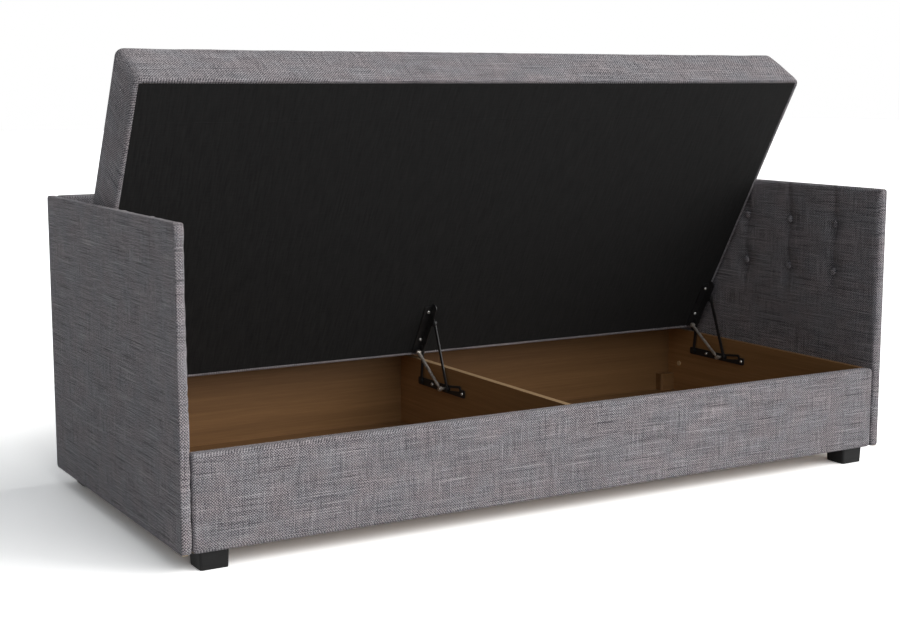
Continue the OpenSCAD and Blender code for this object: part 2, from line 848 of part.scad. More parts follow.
module base_pins() {
    color("silver") stand() every_wall() {
        pin_x(base_pivot, stand_off - pin_head_h, link_face + layer_gap + pin_head_h, pin_d);
        pin_x(base_pivot, stand_off - pin_head_h, stand_off, pin_head_d);
        pin_x(base_pivot, link_face + layer_gap, link_face + layer_gap + pin_head_h, pin_head_d);
    }
}

module strut_pin(at, from, neck_from) {
    pin_x(at, from, pin_tip, strut_pin_d);
    pin_x(at, neck_from, pin_neck, pin_d);
    pin_x(at, pin_tip, pin_tip + pin_head_h, strut_head_d);
}

module strut_posts() {
    color("silver") stand() every_wall() strut_pin(strut_foot, stand_off, bar_top);
}

// Mattress seat
module seat_pocket(from, to, gap) {
    box([gap - pocket_x, pocket_front + gap, from], [pocket_x - gap, pocket_rear - gap, to]);
}

module strap_screw_bores() {
    every_wall() for (a = strap_screws_a) translate([strap_screw_off, a, -over])
        cylinder(h = rail_base + screw_bite + over + screw_fit, d = screw_d + 2 * screw_fit, $fn = small_fn);
}

module mattress_cover() {
    color("slategray") seat_pose() difference() {
        translate([0, seat_l / 2, 0]) mattress_form();
        seat_pocket(-over, core_top, 0);
    }
}

module mattress_core() {
    color("khaki") seat_pose() seat_pocket(core_base, core_top - soft_gap, soft_gap);
}

module deck_board() {
    color("tan") seat_pose() seat_pocket(deck_base, core_base, soft_gap);
}

module underside_cloth() {
    color("black") seat_pose() difference() {
        seat_pocket(0, cloth_t, soft_gap);
        strap_screw_bores();
    }
}

module rail(low, high) {
    seat_pose() difference() {
        box([low[0], low[1], rail_base], [high[0], high[1], deck_base]);
        strap_screw_bores();
    }
}

module front_rail() {
    color("burlywood") rail([-rail_end, front_rail_a], [rail_end, front_rail_a + rail_w]);
}

module rear_rail() {
    color("burlywood") rail([-rail_end, rear_rail_a - rail_w], [rail_end, rear_rail_a]);
}

module end_rails() {
    color("burlywood") {
        rail([rail_end - end_rail_w, front_rail_a + rail_w], [rail_end, rear_rail_a - rail_w]);
        rail([-rail_end, front_rail_a + rail_w], [end_rail_w - rail_end, rear_rail_a - rail_w]);
    }
}

module cross_rails() {
    color("burlywood") for (share = cross_shares) rail(
        [share * pocket_x - cross_rail_w / 2, front_rail_a + rail_w],
        [share * pocket_x + cross_rail_w / 2, rear_rail_a - rail_w]);
}

// Upper strap: a web along the mattress with a lug for the arm, and a flange on its underside
module strap() {
    difference() {
        union() {
            plate(strap_base, steel_t) {
                translate([strap_front, -strap_w]) round_rect(strap_rear - strap_front, strap_w, strap_end_r);
                bar_2d([arm_top_a, -arm_top_drop], [arm_top_a, -strap_w / 2], lug_d, lug_d);
            }
            box([strap_base, strap_front + strap_w / 2, -steel_t], [strap_base + flange_w, strap_rear - strap_w / 2, 0]);
        }
        pin_x([link_top_a, -link_top_drop], 0, strap_face + over, pin_d + 2 * pin_fit);
        pin_x([arm_top_a, -arm_top_drop], 0, strap_face + over, pin_d + 2 * pin_fit);
        pin_x([strut_top_a, -strut_top_drop], 0, strap_face + over, strut_pin_d + 2 * pin_fit);
        for (a = strap_screws_a) translate([strap_screw_off, a, -steel_t - over])
            cylinder(h = steel_t + 2 * over, d = screw_d + 2 * screw_fit, $fn = small_fn);
    }
}

module strap_left() {
    color("dimgray") seat_pose() off_wall(0) strap();
}

module strap_centre() {
    color("dimgray") seat_pose() off_wall(1) strap();
}

module strap_right() {
    color("dimgray") seat_pose() off_wall(2) strap();
}

module strap_screws() {
    color("silver") seat_pose() every_wall() for (a = strap_screws_a)
        translate([strap_screw_off, a, -steel_t]) wood_screw(steel_t + cloth_t);
}

module strap_pin(at) {
    pin_x(at, link_base - layer_gap - pin_head_h, strap_face + pin_head_h, pin_d);
    pin_x(at, link_base - layer_gap - pin_head_h, link_base - layer_gap, pin_head_d);
    pin_x(at, strap_face, strap_face + pin_head_h, pin_head_d);
}

module strap_pins() {
    color("silver") seat_pose() every_wall() {
        strap_pin([link_top_a, -link_top_drop]);
        strap_pin([arm_top_a, -arm_top_drop]);
    }
}

module strut_pins() {
    color("silver") seat_pose() every_wall() strut_pin([strut_top_a, -strut_top_drop], strap_base, strap_face);
}

// Moving links
module rear_link() {
    plate(link_base, steel_t) bar_2d(base_pivot, seat_foot, link_w, eye_d) {
        translate(base_pivot) circle(d = pin_d + 2 * pin_fit);
        translate(seat_foot) circle(d = pin_d + 2 * pin_fit);
    }
}

module rear_link_left() {
    color("dimgray") stand() off_wall(0) rear_link();
}

module rear_link_centre() {
    color("dimgray") stand() off_wall(1) rear_link();
}

module rear_link_right() {
    color("dimgray") stand() off_wall(2) rear_link();
}

// The arm carries its lower pin, which runs in the base bar's slot between two heads
module front_arm() {
    plate(link_base, steel_t) bar_2d(arm_foot, arm_top, link_w, eye_d) translate(arm_top) circle(d = pin_d + 2 * pin_fit);
    pin_x(arm_foot, 2 * layer_gap, link_face + pin_head_h, pin_d);
    pin_x(arm_foot, 2 * layer_gap, 2 * layer_gap + pin_head_h, pin_head_d);
    pin_x(arm_foot, link_face, link_face + pin_head_h, pin_head_d);
}

module front_arm_left() {
    color("dimgray") stand() off_wall(0) front_arm();
}

module front_arm_centre() {
    color("dimgray") stand() off_wall(1) front_arm();
}

module front_arm_right() {
    color("dimgray") stand() off_wall(2) front_arm();
}

// Along the strut's axis, from one of its pivots
module strut_pose(at, angle) {
    translate([strut_off, at[0], at[1]]) rotate([angle, 0, 0]) rotate([-90, 0, 0]) children();
}

module strut_eye() {
    difference() {
        union() {
            rotate([0, 90, 0]) translate([0, 0, -eye_t / 2]) cylinder(h = eye_t, d = strut_eye_d, $fn = small_fn);
            children();
        }
        rotate([0, 90, 0]) translate([0, 0, -eye_t]) cylinder(h = 2 * eye_t, d = strut_pin_d + 2 * pin_fit, $fn = small_fn);
    }
}

module strut_tube() {
    strut_pose(strut_top, strut_angle + 180) difference() {
        strut_eye() translate([0, 0, strut_eye_d / 2 - over]) cylinder(h = tube_l - strut_eye_d / 2 + over, d = tube_d, $fn = small_fn);
        translate([0, 0, strut_eye_d / 2 + eye_t / 2]) cylinder(h = tube_l, d = tube_bore, $fn = small_fn);
    }
}

module strut_rod() {
    strut_pose(strut_foot, strut_angle)
        strut_eye() translate([0, 0, strut_eye_d / 2 - over]) cylinder(h = rod_l - strut_eye_d / 2 + over, d = rod_d, $fn = small_fn);
}

module strut_tube_left() {
    color("silver") stand() off_wall(0) strut_tube();
}

module strut_tube_centre() {
    color("silver") stand() off_wall(1) strut_tube();
}

module strut_tube_right() {
    color("silver") stand() off_wall(2) strut_tube();
}

module strut_rod_left() {
    color("gainsboro") stand() off_wall(0) strut_rod();
}

module strut_rod_centre() {
    color("gainsboro") stand() off_wall(1) strut_rod();
}

module strut_rod_right() {
    color("gainsboro") stand() off_wall(2) strut_rod();
}

left_side_board();
left_side_cover();
left_side_buttons();
right_side_board();
right_side_cover();
right_side_buttons();
back_board();
back_cover();
back_buttons();
back_dowels();
front_core();
front_cover();
box_left_wall();
box_right_wall();
box_back_wall();
partition();
floor_left();
floor_right();
corner_blocks();
block_screws();
panel_bolts();
foot_front_left();
foot_front_right();
foot_rear_left();
foot_rear_right();
foot_screws();
base_bar_left();
base_bar_centre();
base_bar_right();
base_bar_screws();
bar_spacers();
base_pins();
strut_posts();
mattress_cover();
mattress_core();
deck_board();
front_rail();
rear_rail();
end_rails();
cross_rails();
underside_cloth();
strap_left();
strap_centre();
strap_right();
strap_screws();
strap_pins();
strut_pins();
rear_link_left();
rear_link_centre();
rear_link_right();
front_arm_left();
front_arm_centre();
front_arm_right();
strut_tube_left();
strut_tube_centre();
strut_tube_right();
strut_rod_left();
strut_rod_centre();
strut_rod_right();
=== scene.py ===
"""Storage sofa bed, drawn open: tufted panels, front board and mattress in grey cloth, a wooden
storage box and three steel lift fittings.

Lengths are in metres. X runs along the sofa, Y from the front to the back, Z up. A padded piece
has axes of its own: U along its length, V along its height, N out of its face.
"""

import math

import bpy
import numpy as np
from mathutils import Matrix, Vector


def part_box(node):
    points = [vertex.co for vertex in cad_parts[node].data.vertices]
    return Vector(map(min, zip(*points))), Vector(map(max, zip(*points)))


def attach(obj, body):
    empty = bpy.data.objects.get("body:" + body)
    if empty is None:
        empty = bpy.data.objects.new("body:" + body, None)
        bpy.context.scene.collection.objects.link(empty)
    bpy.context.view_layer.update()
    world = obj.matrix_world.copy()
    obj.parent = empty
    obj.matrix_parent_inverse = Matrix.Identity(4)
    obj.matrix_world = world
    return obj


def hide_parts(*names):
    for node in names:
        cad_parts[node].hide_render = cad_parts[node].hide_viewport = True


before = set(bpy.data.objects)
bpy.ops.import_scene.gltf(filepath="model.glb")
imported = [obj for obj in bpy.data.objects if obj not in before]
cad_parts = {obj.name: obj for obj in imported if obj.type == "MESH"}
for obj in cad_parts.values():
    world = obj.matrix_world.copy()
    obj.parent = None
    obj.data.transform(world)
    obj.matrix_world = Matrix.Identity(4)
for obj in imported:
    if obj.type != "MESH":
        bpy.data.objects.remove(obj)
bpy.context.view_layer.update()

X, Y, Z = np.eye(3)
ALONG_X, ALONG_Y = 0, 1

# Camera: its place, how many degrees it looks down and turns about Z, its lens and its film
CAMERA_PLACE = (-2.1762, -3.5535, 1.0565)
CAMERA_DOWN, CAMERA_TURN = 8.32, -30.4
LENS_MM, FILM_MM = 62.29, 36.0

# Overall sizes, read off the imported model
panel_low, panel_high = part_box("left_side_cover")
HALF_L, FOOT_H, PANEL_TOP = -panel_low.x, panel_low.z, panel_high.z
HALF_D = panel_high.y
SIDE_T = panel_high.x - panel_low.x
PANEL_H = PANEL_TOP - FOOT_H

# Tufting: the buttons' columns in a side panel and in the back panel, and their places, read off
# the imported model
BUTTON_R = 0.011
SIDE_COLUMNS, BACK_COLUMNS = 4, 10
button_low, button_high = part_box("left_side_buttons")
TUFT_FIRST = button_low.y + HALF_D + BUTTON_R
TUFT_PITCH = (button_high.y - button_low.y - 2 * BUTTON_R) / (SIDE_COLUMNS - 1)
TUFT_LOW, TUFT_RISE = button_low.z + BUTTON_R, button_high.z - button_low.z - 2 * BUTTON_R

# Round each button: a wide bowl, a small dimple, and a fold that is narrow along U and long along V
TUFT_DEPTH, TUFT_R = 0.005, 0.034
DIMPLE_DEPTH, DIMPLE_R = 0.0016, 0.015
PUCKER_DEPTH, PUCKER_R, PUCKER_L = 0.0034, 0.012, 0.072

# Painted shade in the cloth round a button and along its fold, and how dark the fold's shade is
SHADE_R, FOLD_SHADE_R, FOLD_SHADE = 0.019, 0.011, 0.75

# A button: the sides and steps of its dome, how flat the dome is, and its rim turned under, as
# shares of its radius and of its height
DOME_SIDES, DOME_STEPS, DOME_POWER = 20, 9, 0.8
HEM_R_SHARES, HEM_LEVEL_SHARES = (0.96, 0.7), (-0.25, -0.4)

# Upholstery cloth: the repeat of its basket weave, how much each mark of it tells, and its greys
# from the darkest yarn to the palest
WEAVE = 0.0068
YARN_SHARE, FLECK_SHARE, FIBRE_SHARE = 1.3, 5.2, 0.15
LONG_WEFT_SHARE, LONG_WARP_SHARE = 72, 38
# The last share on the next line is how much painted shade darkens the cloth in the tufts' hollows
CLOTH_CONTRAST, CLOUD_SHARE, PAINTED_SHADE_SHARE = 0.82, 0.25, 0.55
CLOTH_GREYS = ((0.0, (0.053, 0.051, 0.058)), (0.35, (0.142, 0.133, 0.145)),
               (0.65, (0.256, 0.236, 0.248)), (1.0, (0.500, 0.470, 0.482)))

# Laminate: repeats of its grain in a metre across it and along it, its browns, and its edge banding
GRAIN_ACROSS, GRAIN_ALONG = 150, 3.6
LAMINATE_BROWNS = ((0.40, (0.094, 0.0475, 0.0178)), (0.60, (0.118, 0.0610, 0.0235)),
                   (0.78, (0.146, 0.0770, 0.0310)))
BANDING = (0.41, 0.27, 0.145)
BANDING_T = 0.0004

# Padded panels: their rim's radii at the face and at the back, their corners' radius, the padding
# that stays under a button, and the share of the thickness above which painted shade darkens the
# cloth
PANEL_R, PANEL_FOOT_R, PANEL_CORNER_R = 0.007, 0.004, 0.009
LEAST_PAD, SHADED_SHARE = 0.0029, 0.6
SIDE_BOARD_T, SIDE_STEP = 0.012, 0.0085
BACK_BOARD_T, BACK_STEP = 0.009, 0.0105

# Their simulation: how deep below the face the cloth is free, how far from a button it is held,
# and how far it may move
PANEL_FREE_DEPTH, BUTTON_HOLD_R, PANEL_CAP = 0.0095, 0.016, 0.0022

# How far the back panel's cover is pressed into each side cover
PRESSED = 0.0015

# Front board: its rim and corners, its mesh, the swell of its face, and the ripple on it with its
# waves in radians to the metre
FRONT_R, FRONT_FOOT_R, FRONT_STEP = 0.009, 0.006, 0.0125
FRONT_SWELL, FRONT_RIPPLE, RIPPLE_U, RIPPLE_V = 0.0012, 0.0003, 23, 31

# Its simulation: how deep below the face the cloth is free, the rim where it is held and the width
# over which it eases free, how far it may move, and its spare length
FRONT_FREE_DEPTH, FRONT_HELD, FRONT_EASE = 0.003, 0.012, 0.030
FRONT_CAP, FRONT_SPARE = 0.0012, 0.006

# Mattress seat: its rear pivot's place, and the seat's own axes when it stands open. A runs from
# its front edge to its rear edge, N out of its upper face.
OPEN_ANGLE = math.radians(60.3)
BASE_PIVOT = np.array([0.75508, 0.20538])
LINK_L, LINK_OPEN = 0.10217, math.radians(97.11)
LINK_TOP_A, LINK_TOP_N = 0.86849, 0.010
SEAT_A = math.cos(OPEN_ANGLE) * Y - math.sin(OPEN_ANGLE) * Z
SEAT_N = math.sin(OPEN_ANGLE) * Y + math.cos(OPEN_ANGLE) * Z
link_top = BASE_PIVOT + LINK_L * np.array([math.cos(LINK_OPEN), math.sin(LINK_OPEN)])
SEAT_ORIGIN = ((link_top[0] - HALF_D) * Y + link_top[1] * Z
               - LINK_TOP_A * SEAT_A + LINK_TOP_N * SEAT_N)

# Its sizes, its edges' and corners' radii, its crown, how far its sides are drawn in, how far they
# swell, and the border of cloth turned under it, which ends in a lip of (inset, level) steps
SEAT_HALF, SEAT_L, SEAT_T, SEAT_STEP = 1.000, 0.909, 0.152, 0.0125
SEAT_R, SEAT_REAR_R, SEAT_FOOT_R, SEAT_CORNER_R = 0.014, 0.027, 0.006, 0.022
SEAT_CROWN, CROWN_POWER, SEAT_DRAW, SEAT_SWELL = 0.007, 0.7, 0.0015, 0.002
SEAT_BORDER = 0.014
BORDER_LIP = ((-0.0006, 0.0002), (0, 0.0010), (0.0002, 0.0030))

# Its simulation: the height up to which its sides are held and the rise over which they ease free,
# how far its edges may move and how much more its middle, and the rim between the two
SIDE_HELD, SIDE_EASE = 0.012, 0.020
EDGE_CAP, CROWN_CAP, CROWN_HELD, CROWN_EASE = 0.0006, 0.0044, 0.02, 0.08
SEAT_PRESSURE, SEAT_SPARE = 0.5, 0.004

# Dust cloth: its gap to the border, its mesh, and its rim as rings (inset, level, follow)
DUST_GAP, DUST_STEP, DUST_CORNER_R = 0.0003, 0.02, 0.002
DUST_RINGS = ((0.0004, 0.0010, 0), (0, 0.0007, 0), (0, 0.0004, 0), (0.0003, 0.0001, 0))

# A padded piece's back has its own stretch of cloth, BACK_UV further along V. The front rail's edge
# lies under the dust cloth, 120 mm from the mattress's front edge, at this V.
BACK_UV = 0.37
RAIL_EDGE = 0.120 - SEAT_BORDER + BACK_UV

# The dust cloth's bond points, and half the width of the ridge over the rail's edge
BOND_PITCH, RIDGE_HALF = 0.003, 0.0025

# Meshes: a rim's width, as a share of the corner's radius, and the lines within it, as shares of it
RIM_SHARE, RIM_LINE_SHARES = 1.4, (0, 0.3, 0.62)

# Cloth simulation: its steps, the levels of hold that a point can have, and its pressure and spare
# length where a piece has none of its own
CLOTH_FRAMES, HOLD_LEVELS = 10, 8
CLOTH_PRESSURE, CLOTH_SPARE = 3.0, 0.012

# Rays for which the floor and the world are white, and half the floor's width
EYE_RAYS = ("Is Camera Ray", "Is Glossy Ray", "Is Transmission Ray")
FLOOR_HALF = 30


# Camera and lamps
def add_object(name, data):
    """A new object with this data, in the scene."""
    thing = bpy.data.objects.new(name, data)
    bpy.context.scene.collection.objects.link(thing)
    return thing


def make_camera():
    data = bpy.data.cameras.new("view")
    data.lens, data.sensor_width = LENS_MM, FILM_MM
    camera = add_object("view", data)
    camera.location = CAMERA_PLACE
    camera.rotation_euler = (math.radians(90 - CAMERA_DOWN), 0, math.radians(CAMERA_TURN))
    bpy.context.scene.camera = camera


def sun(name, towards, strength, spread, colour=(1, 1, 1)):
    """A sun lamp that shines from the direction `towards`, its disc `spread` degrees wide."""
    data = bpy.data.lights.new(name, "SUN")
    data.energy, data.angle, data.color = strength, math.radians(spread), colour
    azimuth = math.atan2(towards[1], towards[0])
    tilt = math.atan2(math.hypot(towards[0], towards[1]), towards[2])
    add_object(name, data).rotation_euler = (0, tilt, azimuth)


# Materials
class Wire:
    """A value inside a material. Arithmetic on it adds Math nodes."""

    def __init__(self, finish, socket):
        self.finish, self.socket = finish, socket

    def math(self, operation, *others):
        return self.finish.node("ShaderNodeMath", {"operation": operation}, (self, *others))

    def __add__(self, other):
        return self.math("ADD", other)

    def __sub__(self, other):
        return self.math("SUBTRACT", other)

    def __rsub__(self, other):
        return self.finish.node("ShaderNodeMath", {"operation": "SUBTRACT"}, (other, self))

    def __mul__(self, other):
        return self.math("MULTIPLY", other)

    def __truediv__(self, other):
        return self.math("DIVIDE", other)

    def __gt__(self, other):
        return self.math("GREATER_THAN", other)


class Finish:
    """One material, with a Principled surface until another is linked in its place."""

    def __init__(self, name, **constants):
        self.material = bpy.data.materials.new(name)
        self.material.use_nodes = True
        self.tree = self.material.node_tree
        self.shader = self.tree.nodes["Principled BSDF"]
        self.set(**constants)

    def node(self, kind, settings=None, inputs=(), output=0):
        """Any node: its type, its settings, then its sockets' values or links, by place or name."""
        node = self.tree.nodes.new(kind)
        for key, value in (settings or {}).items():
            if key == "stops":
                ramp = node.color_ramp.elements
                while len(ramp) < len(value):
                    ramp.new(0.5)
                for stop, (place, colour) in zip(ramp, value):
                    stop.position, stop.color = place, (*colour, 1)
            else:
                setattr(node, key, value)
        pairs = inputs.items() if isinstance(inputs, dict) else enumerate(inputs)
        for key, value in pairs:
            if isinstance(value, Wire):
                self.tree.links.new(value.socket, node.inputs[key])
            elif value is not None:
                node.inputs[key].default_value = value
        return Wire(self, node.outputs[output])

    def set(self, **inputs):
        """Sets or links sockets of the surface's shader, by name with _ for a space."""
        for key, value in inputs.items():
            socket = self.shader.inputs[key.replace("_", " ")]
            if isinstance(value, Wire):
                self.tree.links.new(value.socket, socket)
            else:
                socket.default_value = (*value, 1) if isinstance(value, tuple) else value

    def coordinates(self, kind, scale=(1, 1, 1), move=(0, 0, 0), turn=(0, 0, 0)):
        """Object or UV coordinates, in metres, moved, turned and scaled."""
        start = self.node("ShaderNodeTexCoord", output=kind)
        return self.node("ShaderNodeMapping", inputs={"Vector": start, "Scale": scale,
                                                      "Location": move, "Rotation": turn})

    def axes(self, vector):
        outputs = self.node("ShaderNodeSeparateXYZ", inputs=(vector,)).socket.node.outputs
        return [Wire(self, outputs[i]) for i in range(3)]

    def noise(self, vector, detail=2.0, rough=0.5):
        return self.node("ShaderNodeTexNoise", inputs={"Vector": vector, "Scale": 1.0,
                                                       "Detail": detail, "Roughness": rough})

    def grid(self, u, v, pitch):
        """sin(2 pi u / pitch) sin(2 pi v / pitch)"""
        waves = 2 * math.pi / pitch
        return (u * waves).math("SINE") * (v * waves).math("SINE")

    def ramp(self, value, *stops):
        return self.node("ShaderNodeValToRGB", {"stops": stops}, (value,))

    def blend(self, amount, first, second, how="MIX"):
        """Mix of two colours, each a wire or a tuple."""
        first, second = [(*c, 1) if isinstance(c, tuple) else c for c in (first, second)]
        return self.node("ShaderNodeMix", {"data_type": "RGBA", "blend_type": how},
                         {0: amount, 6: first, 7: second}, output=2)

    def bump(self, height, strength, distance):
        return self.node("ShaderNodeBump", inputs={"Strength": strength, "Distance": distance,
                                                   "Height": height})


def toned(stops, tone):
    """A ramp's stops with their colours times `tone`."""
    return [(place, tuple(tone * c for c in colour)) for place, colour in stops]


def grey_cloth(name, shift, tone=1.0, contrast=1.0):
    """Grey melange upholstery in a coarse basket weave. UV is in metres, and a noise's scale is in
    repeats to the metre along U and V. The yarns' checks are
    sin(2 pi u / WEAVE) sin(2 pi v / WEAVE); short slubs are noise stretched along U or along V;
    long thin threads are the cube of such a noise, so that only its peaks show; slow noise turns
    the grey a little towards blue or pink, and painted shade darkens the cloth where the attribute
    `hollow` is high. `shift` sets the cloth's place in the noises."""
    cloth = Finish(name, Sheen_Weight=0.08, Sheen_Roughness=0.55, Specular_IOR_Level=0.12)

    def marks(scale, move, turn=0.0, detail=1, rough=0.5):
        where = cloth.coordinates("UV", (*scale, 1), move, (0, 0, turn))
        return cloth.noise(where, detail, rough)

    weft = marks((14, 560), (0, shift, 3))
    thread = marks((5.5, 400), (4, shift, 8), 0.006) - 0.5
    upright = marks((400, 8), (shift, 5, 2), -0.005) - 0.5
    warp = marks((560, 15), (shift, 0, 0), -0.015)
    fleck = marks((430, 430), (shift, 7, 0), detail=2, rough=0.7)
    cloud = marks((7, 12), (shift, 1, 5), detail=4, rough=0.6)
    u, v, _ = cloth.axes(cloth.coordinates("UV"))
    checks = cloth.grid(u, v, WEAVE)
    fibre = cloth.grid(u, v, WEAVE / 2)
    long_yarn = (thread * thread * thread * LONG_WEFT_SHARE
                 + upright * upright * upright * LONG_WARP_SHARE)
    yarn = ((warp - 0.5) * YARN_SHARE + (weft - 0.5) * YARN_SHARE + (fleck - 0.5) * FLECK_SHARE
            + checks + fibre * FIBRE_SHARE + long_yarn)
    # Painted shade in the tufts' hollows, from the point attribute that panel() sets
    hollow = cloth.node("ShaderNodeAttribute", {"attribute_name": "hollow"}, output=2)
    share = (yarn * (CLOTH_CONTRAST * contrast) + (cloud - 0.5) * CLOUD_SHARE + 0.5
             - hollow * PAINTED_SHADE_SHARE)
    grey = cloth.ramp(share, *toned(CLOTH_GREYS, tone))
    hue = cloth.ramp(marks((11, 15), (shift, 4, 2), detail=2),
                     (0.38, (0.975, 1.0, 1.025)), (0.62, (1.025, 0.99, 1.0)))
    cloth.set(Base_Color=cloth.blend(1.0, grey, hue, "MULTIPLY"), Roughness=weft * 0.14 + 0.78,
              Normal=cloth.bump(yarn * 0.5 + checks * 0.5, 0.6, 0.0007))
    return cloth.material


def laminate(name, along, tone=1.0, edge=None):
    """Brown wood laminate: long grain lines along one axis, pores, and slow bands of tone.
    `edge` is a height, above which the board's top edge shows pale banding."""
    wood = Finish(name, Specular_IOR_Level=0.3)
    scale = tuple(GRAIN_ALONG if i == along else GRAIN_ACROSS for i in range(3))

    def marks(finer, move, detail, rough):
        where = wood.coordinates("Object", tuple(s * finer for s in scale), move)
        return wood.noise(where, detail, rough)

    fine = marks(1, (2, 5, 1), 4, 0.6)
    pores = marks(6, (7, 1, 4), 2, 0.5)
    bands = marks(0.16, (3, 9, 2), 3, 0.55)
    colour = wood.ramp(fine * 0.5 + pores * 0.25 + bands * 0.45, *toned(LAMINATE_BROWNS, tone))
    if edge is not None:
        _, _, height = wood.axes(wood.coordinates("Object"))
        colour = wood.blend(height > edge, colour, BANDING)
    wood.set(Base_Color=colour, Roughness=pores * 0.2 + 0.42,
             Normal=wood.bump(fine + pores, 0.18, 0.0004))
    return wood.material


def raw_wood(name, along, light=(0.62, 0.44, 0.26), dark=(0.42, 0.27, 0.14)):
    """Plain sawn wood or board: soft grain along one axis."""
    wood = Finish(name, Specular_IOR_Level=0.25)
    scale = tuple(2.5 if i == along else 60 for i in range(3))
    grain = wood.noise(wood.coordinates("Object", scale, (1, 4, 8)), 4, 0.6)
    fibre = wood.noise(wood.coordinates("Object", tuple(s * 7 for s in scale)), 2)
    wood.set(Base_Color=wood.ramp(grain * 0.7 + fibre * 0.3, (0.35, dark), (0.65, light)),
             Roughness=fibre * 0.2 + 0.6, Normal=wood.bump(grain + fibre, 0.2, 0.0005))
    return wood.material


def painted_steel(name):
    """Black painted steel with a fine orange-peel, worn a little paler in places."""
    steel = Finish(name, Metallic=0.0, Specular_IOR_Level=0.35)
    peel = steel.noise(steel.coordinates("Object", (900, 900, 900)), 2)
    wear = steel.noise(steel.coordinates("Object", (60, 60, 60), (3, 1, 2)), 4, 0.65)
    black, pale = (0.012, 0.012, 0.013), (0.024, 0.023, 0.023)
    steel.set(Base_Color=steel.ramp(wear, (0.45, black), (0.75, pale)),
              Roughness=wear * 0.3 + 0.34, Normal=steel.bump(peel, 0.15, 0.0003))
    return steel.material


def bright_steel(name, colour, rough):
    """Plated steel: fine turning marks and slight dulling."""
    steel = Finish(name, Metallic=0.55, Specular_IOR_Level=0.6)
    marks = steel.noise(steel.coordinates("Object", (900, 140, 900)), 3, 0.6)
    dull = steel.noise(steel.coordinates("Object", (45, 45, 45), (2, 2, 7)), 3)
    dark = tuple(c * 0.72 for c in colour)
    steel.set(Base_Color=steel.ramp(dull, (0.35, dark), (0.6, colour)),
              Roughness=dull * 0.15 + marks * 0.1 + rough, Normal=steel.bump(marks, 0.12, 0.0002))
    return steel.material


def foot_plastic(name):
    """Black moulded plastic with a fine spark-eroded grain and scuffs."""
    plastic = Finish(name, Specular_IOR_Level=0.2)
    grain = plastic.noise(plastic.coordinates("Object", (1400, 1400, 1400)), 1)
    scuff = plastic.noise(plastic.coordinates("Object", (40, 40, 220), (5, 0, 1)), 4, 0.7)
    black, pale = (0.004, 0.004, 0.0043), (0.013, 0.013, 0.0133)
    plastic.set(Base_Color=plastic.ramp(scuff, (0.4, black), (0.8, pale)),
                Roughness=scuff * 0.25 + 0.45, Normal=plastic.bump(grain, 0.25, 0.0002))
    return plastic.material


def black_cloth(name):
    """Black spun-bonded dust cloth: fibre marks that lean a little, a square grid of bond points,
    and a low ridge at V = RAIL_EDGE, where the front rail's edge lies under it."""
    cloth = Finish(name, Sheen_Weight=0.05, Specular_IOR_Level=0.1)
    fibre = cloth.noise(cloth.coordinates("UV", (190, 13, 1), (4, 0, 0), (0, 0, -0.12)), 4, 0.65)
    cross = cloth.noise(cloth.coordinates("UV", (30, 240, 1), (0, 6, 0)), 4, 0.65)
    u, v, _ = cloth.axes(cloth.coordinates("UV"))
    bond = cloth.grid(u, v, BOND_PITCH)
    mark = fibre * 0.7 + cross * 0.3
    ridge = (1 - (v - RAIL_EDGE).math("ABSOLUTE") / RIDGE_HALF).math("MAXIMUM", 0.0)
    black, pale = (0.0075, 0.0075, 0.0078), (0.0180, 0.0177, 0.0177)
    cloth.set(Base_Color=cloth.ramp(mark, (0.35, black), (0.65, pale)), Roughness=mark * 0.2 + 0.72,
              Normal=cloth.bump(mark + bond * 0.25 + ridge * 4, 0.3, 0.0004))
    return cloth.material


def fibre_board(name):
    """Fibre board: an even, fine mottle."""
    plain = Finish(name, Specular_IOR_Level=0.2)
    grain = plain.noise(plain.coordinates("Object", (400, 400, 400)), 3, 0.6)
    dark, light = (0.28, 0.18, 0.10), (0.40, 0.27, 0.16)
    plain.set(Base_Color=plain.ramp(grain, (0.35, dark), (0.65, light)),
              Roughness=grain * 0.2 + 0.6, Normal=plain.bump(grain, 0.2, 0.0005))
    return plain.material


def floor_finish():
    """White floor: the eye sees it paler than the lamps do, with a white of its own added, so that
    it is white apart from the object's shadow."""
    floor = Finish("floor_white")
    tree = floor.tree
    path = tree.nodes.new("ShaderNodeLightPath").outputs
    camera, gloss, through = [Wire(floor, path[ray]) for ray in EYE_RAYS]
    seen = (camera + gloss + through).math("MINIMUM", 1.0)
    white = floor.blend(seen, (0.5, 0.5, 0.5), (2.2, 2.2, 2.2))
    matte = floor.node("ShaderNodeBsdfDiffuse", inputs={"Color": white})
    glow = floor.node("ShaderNodeEmission", inputs={"Color": (1, 1, 1, 1), "Strength": seen * 0.02})
    both = floor.node("ShaderNodeAddShader", inputs=(matte, glow))
    tree.links.new(both.socket, tree.nodes["Material Output"].inputs["Surface"])
    return floor.material


def make_world(level, colour):
    """Even light of the given level, and white where the camera, gloss or glass looks past the
    object."""
    world = bpy.data.worlds.new("studio")
    bpy.context.scene.world = world
    world.use_nodes = True
    tree = world.node_tree
    background = tree.nodes["Background"]
    tint = tree.nodes.new("ShaderNodeMix")
    tint.data_type = "RGBA"
    tint.inputs[6].default_value, tint.inputs[7].default_value = (*colour, 1), (1, 1, 1, 1)
    tree.links.new(tint.outputs[2], background.inputs["Color"])
    path = tree.nodes.new("ShaderNodeLightPath").outputs
    seen = path[EYE_RAYS[0]]
    for ray in EYE_RAYS[1:]:
        add = tree.nodes.new("ShaderNodeMath")
        add.use_clamp = True
        tree.links.new(seen, add.inputs[0])
        tree.links.new(path[ray], add.inputs[1])
        seen = add.outputs[0]
    strength = tree.nodes.new("ShaderNodeMapRange")
    strength.inputs["To Min"].default_value = level
    strength.inputs["To Max"].default_value = 1.0
    tree.links.new(seen, strength.inputs["Value"])
    tree.links.new(seen, tint.inputs[0])
    tree.links.new(strength.outputs["Result"], background.inputs["Strength"])


